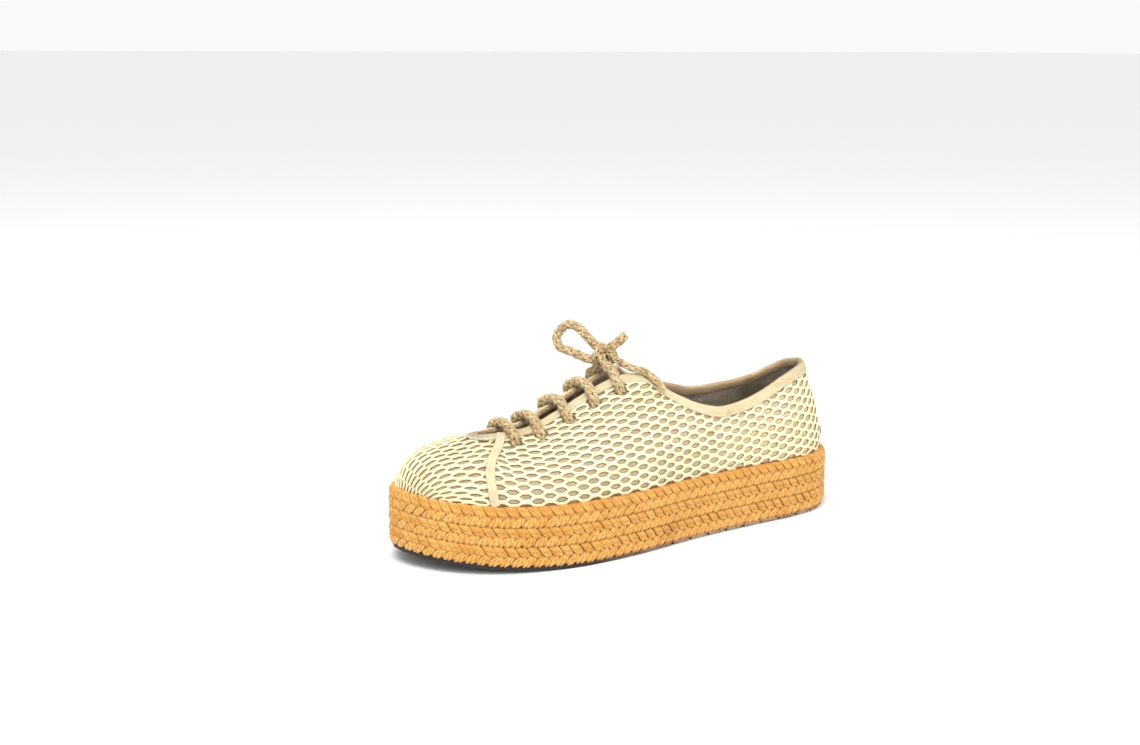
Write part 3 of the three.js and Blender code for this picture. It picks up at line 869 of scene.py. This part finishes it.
canvas = cloth_material("beige_canvas", (0.92, 0.74, 0.46), (0.45, 0.335, 0.17), 0.0012,
                        marks=[(0.03, 0.55, 0.14, (0.85, 0.76, 0.6), 3.0)],
                        front=(0.74, 0.7622, 0.7992))
lining = cloth_material("grey_lining", (0.74, 0.66, 0.54), (0.045, 0.036, 0.028), 0.0026, 0.0004,
                        marks=[(0.03, 0.5, 0.14, (0.7, 0.66, 0.6), 3.0)])
canvas_upper = piece("canvas_and_lining", [canvas_body()], [canvas, lining])
for centre, spot in zip(hole_centres, hole_spots):
    bpy.ops.mesh.primitive_cylinder_add(vertices=28, radius=hole_radius, depth=punch_length,
                                        location=centre)
    punch = bpy.context.object
    punch.rotation_mode = "QUATERNION"
    punch.rotation_quaternion = Vector(skin_normal(*spot)[0]).to_track_quat("Z", "Y")
    cut = canvas_upper.modifiers.new("hole", "BOOLEAN")
    cut.operation = "DIFFERENCE"
    cut.solver = "EXACT"
    cut.object = punch
    bpy.context.view_layer.objects.active = canvas_upper
    bpy.ops.object.modifier_apply(modifier=cut.name)
    bpy.data.objects.remove(punch)
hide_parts("upper")

# Net. A cotton net of soft cream strands laid over the canvas: neighbouring strands run to and
# fro and are knitted together where they meet, which leaves rows of six-sided openings. The
# vamp's piece runs over the toe, and the two quarters run along the sides to the heel.
net_wave = 0.0122
net_row = 0.00236
net_swing = 0.00093
net_from_edge = 0.0034
strand_width = 0.00172
strand_thickness = 0.00085
strand_off = 0.00002
painted_shadow_width = 0.0003
painted_shadow_thickness = 0.00024
painted_shadow_under = 0.00044
strand_twist = 700.0
clear_of_holes = 0.0032
net_lap = 0.0006
seam_level = [0.0, 0.4, 0.62, 0.85, 1.0]
seam_foot = [0.2250, 0.2284, 0.2268, 0.2238, 0.2226]
seam_curve = smooth(np.c_[seam_level, seam_foot], 60)
seam_fine = np.linspace(0, 1, 41)
seam_feet = np.interp(seam_fine, seam_curve[:, 0], seam_curve[:, 1])
seam_shares = {side: np.array([share_at(foot, side) for foot in seam_feet])
               for side in (True, False)}


def swing(angle):
    """A wave whose crests are drawn out, as two strands held together are."""
    return np.tanh(2.4 * np.sin(angle)) / np.tanh(2.4)


def ahead_of_seam(share, level, lateral):
    """How far a spot lies on the toe's side of the seam, in metres round the sole."""
    line = np.interp(level, seam_fine, seam_shares[lateral])
    return (share - line if lateral else line - share) * feather_length


def strand_parts(share, rise, keep, tone, narrow=1.0):
    """A strand's stretches that are kept, each a flattened yarn with a dark flat border under
    it, a painted shadow of the gap between strand and canvas."""
    parts = []
    spot, normal = on_upper(share, rise, strand_off)
    narrow, tone = np.broadcast_to(narrow, len(spot)), np.broadcast_to(tone, len(spot))
    from_holes = np.linalg.norm(spot[:, None] - hole_centres, axis=2).min(1)
    keep = keep & (from_holes > clear_of_holes)
    breaks = np.flatnonzero(np.diff(np.r_[0, keep.astype(int), 0]))
    for first, last in breaks.reshape(-1, 2):
        if last - first < 4:
            continue
        line = spot[first:last]
        ahead = directions(line)
        over = square_to(ahead, normal[first:last])
        side = np.cross(over, ahead)
        parts.append(yarn(line, strand_width * narrow[first:last], strand_thickness, side, over,
                          tone=tone[first:last], twist=strand_twist))
        # The dark border under the strand is a painted shadow.
        parts.append(yarn(line - over * painted_shadow_under,
                          (strand_width + 2 * painted_shadow_width) * narrow[first:last],
                          painted_shadow_thickness, side, over, sides=4, tone=0.0))
    return parts


def along_strand(points, reference):
    """Even places along a line of points, counted from a reference point: (run, place)."""
    step = net_wave / 12
    reach = run_along(points)
    reach = reach - reach[reference]
    run = np.arange(np.ceil(reach[0] / step), np.floor(reach[-1] / step) + 1) * step
    return run, np.interp(run, reach, np.arange(len(points)))


quarter_front = 0.234
quarter_middle = 0.130
quarter_rows = range(-6, 32)
quarter_stations = 320
net_drift = 0.00012
drift_knots = 40
heel_tilt_from = 0.092
heel_tilt = 0.11


def quarter_net(lateral, seed):
    """Level strands from the seam to the heel, rising a little towards the heel."""
    draws = np.random.default_rng(seed)
    front = share_at(quarter_front, lateral)
    share = np.linspace(front, 0.0 if lateral else 1.0, quarter_stations)
    index = np.arange(len(share))
    foot = along_of(skin(share, 0.0))
    tilt = heel_tilt * np.clip(heel_tilt_from - foot, 0, None)
    reference = int(np.argmin(abs(foot - quarter_middle)))
    parts = []
    for row in quarter_rows:
        climb = (row + 0.5) * net_row + tilt
        rise, _ = rise_at(share, climb=climb)
        run, spot = along_strand(skin(share, rise), reference)
        here = np.interp(spot, index, share)
        drift = draws.normal(0, net_drift, drift_knots)
        climb = (np.interp(spot, index, climb)
                 + net_swing * swing(2 * pi * run / net_wave + row * pi)
                 + np.interp(spot, np.linspace(0, len(share), drift_knots), drift))
        rise, reach = rise_at(here, climb=climb)
        keep = ((climb > -0.0002) & (climb < reach - net_from_edge)
                & (ahead_of_seam(here, climb / reach, lateral) < net_lap))
        parts += strand_parts(here, rise, keep, draws.uniform(0.3, 0.9))
    return parts


toe_back = 0.190
toe_lowest = -0.1
fan_along = 0.196
fan_height = -0.025
fan_first = 0.001
fan_last = radians(85)
fan_reference = radians(70)
toe_step = 0.0005
toe_steps = 150


def toe_grid(lateral):
    """Half of the toe's surface by fan angle about a line under the foot and by distance from
    the middle: the share and rise of each spot, and how wide the half is at the sole."""
    share = np.linspace(0.5, share_at(toe_back, lateral), 260)
    rise = np.linspace(toe_lowest, 1, 177)
    points = skin(share[:, None], rise[None])
    angle = np.arctan2(points[..., 2] - fan_height, along_of(points) - fan_along)
    angle = np.maximum.accumulate(angle, axis=1) + np.arange(len(rise)) * 1e-10
    fans = np.linspace(angle[:, 0].min() + fan_first, fan_last, toe_steps)
    crosswise = np.arange(toe_steps) * toe_step
    shares = np.full((len(fans), len(crosswise)), np.nan)
    rises = shares.copy()
    widths = np.zeros(len(fans))
    for k, fan in enumerate(fans):
        met = np.flatnonzero((angle[:, 0] <= fan) & (angle[:, -1] >= fan))
        if len(met) < 3:
            continue
        here = np.array([np.interp(fan, angle[i], rise) for i in met])
        line = skin(share[met], here)
        reach = run_along(line) + (0.0 if met[0] == 0 else abs(line[0, 0] - centre_line))
        inside = (crosswise >= reach[0]) & (crosswise <= reach[-1])
        shares[k, inside] = np.interp(crosswise[inside], reach, share[met])
        rises[k, inside] = np.interp(crosswise[inside], reach, here)
        widths[k] = np.interp(0, -here[here < 0.5], reach[here < 0.5]) if here[0] > 0 else 0
    return fans, shares, rises, widths


fans, lateral_shares, lateral_rises, lateral_widths = toe_grid(True)
_, medial_shares, medial_rises, medial_widths = toe_grid(False)
toe_shares = np.hstack([medial_shares[:, :0:-1], lateral_shares])
toe_rises = np.hstack([medial_rises[:, :0:-1], lateral_rises])
fan_index = np.arange(len(fans)).astype(float)
fan_middle = int(np.argmin(abs(fans - fan_reference)))


def from_grid(table, fan, crosswise):
    """A table of the toe's grid, read between its fans and its steps."""
    k = np.clip(fan, 0, table.shape[0] - 1.001)
    m = np.clip(crosswise / toe_step + toe_steps - 1, 0, table.shape[1] - 1.001)
    k0, m0 = k.astype(int), m.astype(int)
    kf, mf = k - k0, m - m0
    return ((table[k0, m0] * (1 - mf) + table[k0, m0 + 1] * mf) * (1 - kf)
            + (table[k0 + 1, m0] * (1 - mf) + table[k0 + 1, m0 + 1] * mf) * kf)


guide_strand = 0.015


def toe_progress():
    """How far each fan lies along a guide line this far beside the toe's middle, by which the
    strands' waves keep step."""
    column = toe_steps - 1 + int(guide_strand / toe_step)
    known = np.isfinite(toe_shares[:, column])
    line = skin(toe_shares[known, column], toe_rises[known, column])
    return np.interp(fan_index, np.flatnonzero(known), run_along(line))


progress = toe_progress()
vamp_rows = range(-26, 27)
row_stretch = 1.12
toe_gather = 0.6
full_width = 0.92
soil_height = 0.0035
soil_from = 0.222
soil_reach = 0.02


def vamp_strand(row, draws):
    """One lengthwise strand over the toe; the strands draw together where the toe narrows."""
    start = (row + 0.5) * net_row * row_stretch
    widths = lateral_widths if start > 0 else medial_widths
    narrowed = np.clip((full_width - widths / widths[-1]) / full_width, 0, 1)
    gather = 1 - toe_gather * (1 - (1 - narrowed) ** 2)
    share = from_grid(toe_shares, fan_index, start * gather)
    met = np.flatnonzero(np.isfinite(share))
    if len(met) < 12:
        return []
    rise = from_grid(toe_rises, fan_index, start * gather)
    start_at = int(np.argmin(abs(met - fan_middle)))
    run, spot = along_strand(skin(share[met], rise[met]), start_at)
    fan = np.interp(spot, np.arange(len(met)), met)
    phase = run + progress[met[start_at]] - progress[fan_middle]
    closed_up = np.interp(fan, fan_index, gather)
    crosswise = (np.interp(fan, fan_index, start * gather)
                 + net_swing * closed_up * swing(2 * pi * phase / net_wave + row * pi))
    share, rise = (from_grid(table, fan, crosswise) for table in (toe_shares, toe_rises))
    known = np.flatnonzero(np.isfinite(share))
    if len(known) < 6:
        return []
    share, rise = share[known], rise[known]
    _, reach = rise_at(share)
    climb = rise * reach
    ahead = np.where(share <= 0.5, ahead_of_seam(share, rise, True),
                     ahead_of_seam(share, rise, False))
    keep = (((1 - rise) * reach > net_from_edge) & (ahead > -net_lap) & (climb > -net_lap)
            & np.r_[True, np.diff(known) == 1])
    soil = (np.exp(-np.clip(climb, 0, 1) / soil_height)
            * np.clip((along_of(skin(share, rise)) - soil_from) / soil_reach, 0, 1))
    tone = draws.uniform(0.3, 0.8) * (1 - soil * draws.uniform(0.3, 1.0))
    return strand_parts(share, rise, keep, tone, np.clip(1.15 * closed_up[known], 0.5, 1))


# The under colour is the painted shadow at the strands' edges.
net_cotton = yarn_material("cream_net", (0.9, 0.82, 0.55), (0.8, 0.69, 0.42), (0.5, 0.38, 0.17),
                           fibre=0.0002, depth=0.00016, under=(0.34, 0.235, 0.12),
                           marks=[(0.03, 0.6, 0.12, (0.86, 0.76, 0.58), 3.0),
                                  (0.0035, 0.71, 0.06, (0.4, 0.34, 0.27), 4.0)])
vamp_draws = np.random.default_rng(60)
vamp_parts = [part for row in vamp_rows for part in vamp_strand(row, vamp_draws)]
for name, parts in (("net_vamp", vamp_parts), ("net_quarter_lateral", quarter_net(True, 61)),
                    ("net_quarter_medial", quarter_net(False, 62))):
    net = piece(name, parts, [net_cotton])

# Tapes. A narrow cream twill tape covers the seam behind the toe on each side and the seam down
# the back, held by a line of stitches along each edge.
tape_width = 0.0045
tape_thickness = 0.0008
tape_off = 0.0009
tape_points = 9
thread_thickness = 0.0005
stitch_dip = 0.0002


def ribbon(line, normal, width, thick, crown=0.0002):
    """A flat tape along a line, a little crowned, closed all round."""
    ahead = directions(line)
    over = square_to(ahead, normal)
    side = np.cross(over, ahead)
    across = np.linspace(-1, 1, tape_points)
    top = np.stack([across * width / 2, thick / 2 + crown * (1 - across ** 2)], -1)
    low = np.stack([across[::-1] * width / 2 * 0.98, np.full(tape_points, -thick / 2)], -1)
    section = np.vstack([top, low])
    points = (line[:, None] + side[:, None] * section[None, :, :1]
              + over[:, None] * section[None, :, 1:])
    run = run_along(line)[:, None]
    grain = np.stack(np.broadcast_arrays(run, section[None, :, 0], 0 * run), -1)
    columns = len(section)
    return {"points": points.reshape(-1, 3), "grain": grain.reshape(-1, 3),
            "faces": [ring_faces(len(line), columns, flip=True),
                      *(face[:, ::-1] for face in end_faces(len(line), columns))]}


def stitches(line, normal, slot, length=0.0019, pitch=0.0028):
    """A row of thread stitches lying on a cloth, each dipping in at both ends."""
    run = run_along(line)
    dip = stitch_dip * np.array([-1, 0.4, 0.7, 0.4, -1])[:, None]
    parts = []
    for first in np.arange(pitch / 2, run[-1] - length, pitch):
        goal = first + np.linspace(0, length, 5)
        path = at_runs(goal, run, line) + at_runs(goal, run, normal) * dip
        stitch = yarn(path, thread_thickness, thread_thickness, sides=5, tone=0.6)
        parts.append(dict(stitch, slot=slot))
    return parts


twill = cloth_material("cream_twill", (0.86, 0.75, 0.48), (0.6, 0.48, 0.27), 0.0012,
                       marks=[(0.02, 0.56, 0.14, (0.86, 0.76, 0.58), 3.0),
                              (0.008, 0.66, 0.14, (0.8, 0.7, 0.52), 3.0)])
thread = yarn_material("cotton_thread", (0.86, 0.8, 0.64), (0.76, 0.67, 0.48), (0.6, 0.5, 0.34))


def seam_tape(name, share, rise):
    """A tape along these spots of the upper, with its two lines of stitches."""
    spot, normal = on_upper(share, rise, tape_off)
    parts = [ribbon(spot, normal, tape_width, tape_thickness)]
    side = unit(np.cross(normal, directions(spot)))
    for hand in (-1, 1):
        line = spot + side * (hand * tape_width * 0.34) + normal * (tape_thickness / 2 + 0.0001)
        parts += stitches(line, normal, 1)
    tape = piece(name, parts, [twill, thread])


level = np.linspace(0.0, 0.97, 46)
for name, lateral in (("seam_tape_lateral", True), ("seam_tape_medial", False)):
    share = np.interp(level, seam_fine, seam_shares[lateral])
    _, reach = rise_at(share)
    rise, _ = rise_at(share, climb=level * reach)
    seam_tape(name, share, rise)
back_rise = np.linspace(0.0, 0.97, 40)
seam_tape("seam_tape_back", 0 * back_rise, back_rise)

# Binding. One cream twill tape is folded over the raw edge of the collar and the lace slot and
# stitched through near its lower border; inside it is a darker tan, which is painted shade.
binding_section = [
    (5.6, 0.35), (5.5, 0.75), (4.0, 0.95), (1.8, 1.05), (0.5, 0.95), (-0.35, 0.45), (-0.75, -0.35),
    (-0.8, -1.0), (-0.55, -1.7), (0.2, -2.35), (1.6, -2.6), (3.4, -2.55), (4.3, -2.4),
    (4.3, -1.95), (2.2, -1.95), (0.6, -1.6), (0.3, -1.0), (0.7, -0.3), (2.4, 0.3)]
binding_length = 0.62
binding_rings = 620
inside_from = 5


def edge_band():
    """The binding's section, as how far down the edge and how far off the canvas, all round."""
    share = np.arange(binding_rings) / binding_rings
    points, grain = [], []
    for down, off in np.array(binding_section) / 1000:
        rise, _ = rise_at(share, down=down)
        points.append(on_upper(share, rise, off)[0])
        grain.append(np.stack(np.broadcast_arrays(share * binding_length, down, off), -1))
    columns = len(binding_section)
    faces = ring_faces(binding_rings + 1, columns) % (binding_rings * columns)
    inside = np.arange(columns) >= inside_from
    return {"points": np.stack(points, 1).reshape(-1, 3), "faces": [faces],
            "grain": np.stack(grain, 1).reshape(-1, 3),
            "slot": [np.tile(inside.astype(int), binding_rings)]}


# The inside of the binding is a darker copy of the tape: painted shade.
shaded_inside_twill = cloth_material("shaded_inside_twill", (0.72, 0.54, 0.32), (0.26, 0.17, 0.085), 0.0014,
                           marks=[(0.02, 0.5, 0.14, (0.8, 0.72, 0.6), 3.0)])
band_share = np.arange(1201) / 1200
band_rise, _ = rise_at(band_share, down=0.0048)
band_stitches = stitches(*on_upper(band_share, band_rise, tape_off), 2)
binding = piece("edge_binding", [edge_band()] + band_stitches, [twill, shaded_inside_twill, thread])

# Back tab. A plain black woven strip sewn across the seam low on the heel.
tab_reach = 0.0215
tab_climb = 0.0062
tab_off = 0.0019
tab_width = 0.0046
tab_thickness = 0.0009
tab_share = np.linspace(-tab_reach, tab_reach, 25)
tab_rise, _ = rise_at(tab_share, climb=tab_climb)
tab_line, tab_normal = on_upper(tab_share, tab_rise, tab_off)
black_weave = cloth_material("black_weave", (0.035, 0.035, 0.038), (0.012, 0.012, 0.013), 0.0006)
tab_part = ribbon(tab_line, tab_normal, tab_width, tab_thickness, crown=0.0001)
tab = piece("back_tab", [tab_part], [black_weave])

# Insole. A canvas-covered footbed, dished by wear under the heel and the ball of the foot, with
# a stitched border.
footbed_inset = 0.0068
footbed_height = 0.0036
footbed_points = 160
footbed_rings = [(0.0, 3.3), (0.0, 0.5), (0.015, 0.1), (0.06, 0.0), (0.12, 0.15), (0.24, 0.5),
                 (0.4, 0.8), (0.6, 1.0), (0.8, 1.05), (0.95, 1.1)]
border_inset = 0.01
spine = place([0.034, 0.222], [0.0, 0.0015], 0)
heel_dish = (0.045, 0.03)
ball_dish = (0.185, 0.035)


def footbed():
    """Rings that close in on the sole's middle line, each sunk by millimetres of wear."""
    edge = outline_ring(footbed_inset, footbed_points)
    edge[:, 2] = 0
    run = spine[1] - spine[0]
    t = np.clip((edge - spine[0]) @ run / (run @ run), 0, 1)
    target = spine[0] + run * t[:, None]
    rings = []
    for share, drop in footbed_rings:
        ring = edge * (1 - share) + target * share
        along = along_of(ring)
        worn = sum(np.exp(-((along - middle) / reach) ** 2)
                   for middle, reach in (heel_dish, ball_dish))
        ring[:, 2] = (layer_bottom(3, along) + footbed_height
                      - drop / 1000 * (0.55 + 0.6 * worn if share > 0 else 1))
        rings.append(ring)
    return {"points": np.vstack(rings), "faces": [ring_faces(len(rings), footbed_points),
                                                  *end_faces(len(rings), footbed_points)]}


insole_cloth = cloth_material("insole_canvas", (0.6, 0.5, 0.36), (0.4, 0.31, 0.2), 0.0011,
                              marks=[(0.05, 0.48, 0.14, (0.66, 0.6, 0.52), 3.0)])
border = outline_ring(border_inset, 700)
border[:, 2] = layer_bottom(3, along_of(border)) + footbed_height + 0.0001
border_stitches = stitches(border, np.broadcast_to(UP, border.shape), 1, 0.003, 0.0042)
insole = piece("footbed", [footbed()] + border_stitches, [insole_cloth, thread])
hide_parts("insole")

# Lace. The same braided jute cord runs through five pairs of punched holes in straight bars over
# the slot, and each end skips a hole under the upper on its way to the knot.
laced_diameter = 0.0056
lace_radius = lace_diameter / 2
run_depth = 0.002 + lace_radius + 0.001
over_edge = lace_radius + 0.0011
over_skin = lace_radius + 0.0004
in_wall = 0.001
before_hole = 0.0018
past_hole = 0.0024
inner_lane = 0.004
outer_lane = 0.018
bar_crown = 0.0007


def off_skin(lateral, along, from_edge, distance):
    """A point this far outside the upper."""
    spot = spot_on(lateral, along, from_edge)
    return skin(*spot)[0] + skin_normal(*spot)[0] * distance


def through_hole(number, lateral):
    """The lace's points from inside the upper, out of a hole and to the slot's edge."""
    along = hole_along[number - 1]
    return [off_skin(lateral, along, hole_from_edge + before_hole, -run_depth),
            off_skin(lateral, along, hole_from_edge, -in_wall),
            off_skin(lateral, along, hole_from_edge - past_hole, over_skin),
            off_skin(lateral, along, 0.0, 0.0) + UP * over_edge]


def bar(number):
    """A straight bar over the slot, with both of its holes."""
    lateral = through_hole(number, True)
    medial = through_hole(number, False)
    middle = (lateral[-1] + medial[-1]) / 2 + UP * bar_crown
    return lateral + [middle] + medial[::-1]


def under(lateral, first, lane):
    """A hidden run under one side of the upper, between a hole and the next one."""
    along = (hole_along[first - 1] + hole_along[first]) / 2
    return off_skin(lateral, along, lane, -run_depth)


lateral_top, medial_top, behind_slot = from_rows([(142.6, 1.6, 89.4), (137.6, -2.2, 89.6),
                                                  (148, 1, 72)])
lace_route = [
    lateral_top, *through_hole(5, True)[::-1], under(True, 4, outer_lane),
    under(True, 3, outer_lane), *bar(3), under(False, 2, inner_lane),
    under(False, 1, inner_lane), *bar(1)[::-1], *bar(2), under(False, 2, outer_lane),
    under(False, 3, outer_lane), *bar(4)[::-1], behind_slot, *through_hole(5, False), medial_top]
laced_path = even(smooth(lace_route, 1200), step=lace_step)
laced_parts = braid(laced_path, laced_diameter, 15) + fuzz(laced_path, lace_radius, 420, 16)
laced = piece("laced_cord", laced_parts, [jute_lace])
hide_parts("lace")

# Floor and light. A plain pale floor, one large soft light overhead and a paler one at the side.
bpy.context.scene.view_settings.view_transform = "Standard"
floor_mesh = bpy.data.meshes.new("floor")
floor_reach = 60
floor_corners = [(x * floor_reach, y * floor_reach, 0)
                 for x, y in ((-1, -1), (1, -1), (1, 1), (-1, 1))]
floor_mesh.from_pydata(floor_corners, [], [(0, 1, 2, 3)])
floor = bpy.data.objects.new("floor", floor_mesh)
bpy.context.scene.collection.objects.link(floor)
floor_material = bpy.data.materials.new("floor_paper")
floor_material.use_nodes = True
floor_shader = floor_material.node_tree.nodes["Principled BSDF"]
floor_shader.inputs["Base Color"].default_value = (0.9, 0.9, 0.9, 1)
floor_shader.inputs["Roughness"].default_value = 0.8
floor_mesh.materials.append(floor_material)
world = bpy.data.worlds.new("studio")
bpy.context.scene.world = world
world.use_nodes = True
world.node_tree.nodes["Background"].inputs["Color"].default_value = (1, 1, 1, 1)
world.node_tree.nodes["Background"].inputs["Strength"].default_value = 0.95


def soft_light(name, spot, size, power):
    """A round area light that points at the shoe."""
    data = bpy.data.lights.new(name, "AREA")
    data.shape = "DISK"
    data.size = size
    data.energy = power
    light = bpy.data.objects.new(name, data)
    light.location = spot
    way = Vector((0, 0, 0.04)) - Vector(spot)
    light.rotation_euler = way.to_track_quat("-Z", "Y").to_euler()
    bpy.context.scene.collection.objects.link(light)


soft_light("overhead", (0.3, -0.5, 1.4), size=0.9, power=16)
soft_light("side", (1.3, 0.1, 0.8), size=0.8, power=7)
